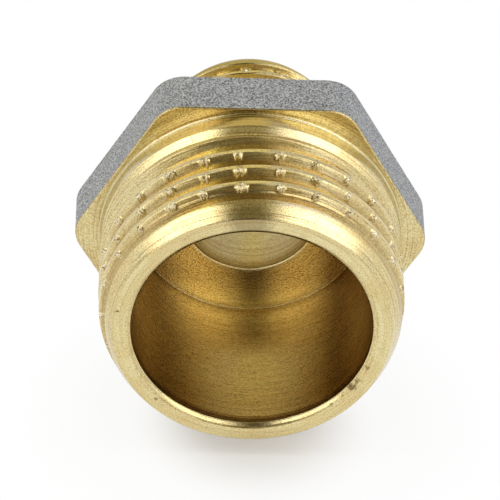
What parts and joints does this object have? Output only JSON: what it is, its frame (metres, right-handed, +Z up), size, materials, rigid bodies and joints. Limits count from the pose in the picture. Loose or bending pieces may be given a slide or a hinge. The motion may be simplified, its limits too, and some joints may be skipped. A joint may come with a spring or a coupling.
{
  "type": "reducing nipple",
  "caption": "Brass hexagon reducing nipple: a short pipe fitting with a wide male thread at one end, a narrow male thread at the other and a stepped bore through it.",
  "frame": {"origin": "on the thread axis, midway between the two end faces", "axes": "+Y along the thread axis from the large end to the small end, +Z up, square to a hexagon flat; the nipple lies on the opposite flat"},
  "size_m": [0.0244, 0.024, 0.0218],
  "materials": {
    "brass": "turned, with the hexagon's flats blasted grey"
  },
  "bodies": {
    "root": {"nipple_body": "brass"}
  },
  "joints": []
}
